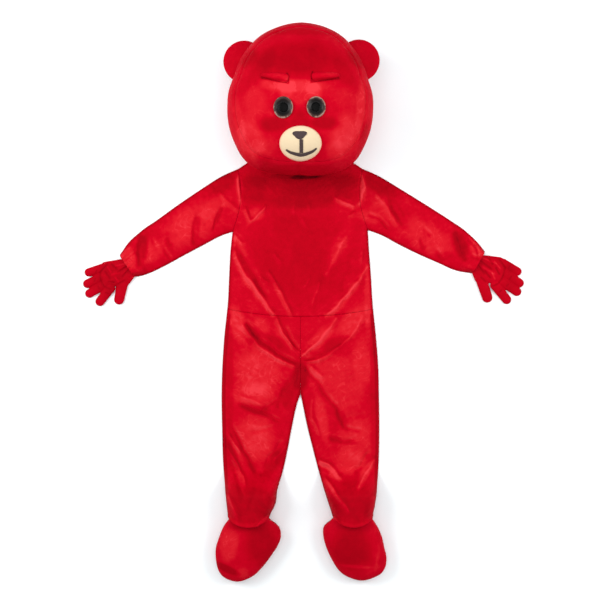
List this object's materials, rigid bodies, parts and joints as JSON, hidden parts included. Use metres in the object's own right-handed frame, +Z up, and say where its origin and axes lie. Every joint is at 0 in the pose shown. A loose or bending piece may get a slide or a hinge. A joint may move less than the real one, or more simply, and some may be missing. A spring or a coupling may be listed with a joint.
{
  "type": "teddy bear mascot costume laid flat",
  "caption": "Plush bear mascot costume laid flat: hollow padded head, jumpsuit with sleeves and legs, five-finger gloves and padded shoes.",
  "frame": {"origin": "on the surface that the costume lies on, at the middle of its bounding box", "axes": "+Z up from the surface to the costume's front, +Y from the feet to the head, +X toward the wearer's left"},
  "size_m": [1.5812, 1.9529, 0.3879],
  "materials": {
    "red_velvet": "short-pile velvet with a soft sheen",
    "cream_pile": "short cream pile",
    "brown_felt": "matt felt",
    "smoky_plastic": "smooth smoky plastic",
    "black_plastic": "gloss black",
    "zip_tape": "woven tape",
    "sole_rubber": "matt foam rubber"
  },
  "bodies": {
    "root": {"bodice_front": "red_velvet", "bodice_back_left": "red_velvet", "bodice_back_right": "red_velvet", "back_zip": "zip_tape", "leg_front_left": "red_velvet", "leg_front_right": "red_velvet", "leg_back_left": "red_velvet", "leg_back_right": "red_velvet", "sleeve_left": "red_velvet", "sleeve_right": "red_velvet", "glove_back_left": "red_velvet", "glove_back_right": "red_velvet", "glove_palm_left": "red_velvet", "glove_palm_right": "red_velvet", "shoe_upper_left": "red_velvet", "shoe_upper_right": "red_velvet", "shoe_sole_left": "sole_rubber", "shoe_sole_right": "sole_rubber", "head_face": "red_velvet", "head_gusset": "red_velvet", "head_back": "red_velvet", "ear_left": "red_velvet", "ear_right": "red_velvet", "brow_left": "red_velvet", "brow_right": "red_velvet", "eye_cup_left": "smoky_plastic", "eye_cup_right": "smoky_plastic", "pupil_left": "black_plastic", "pupil_right": "black_plastic", "muzzle": "cream_pile", "nose": "brown_felt", "mouth": "brown_felt", "mouth_stem": "brown_felt"}
  },
  "joints": []
}
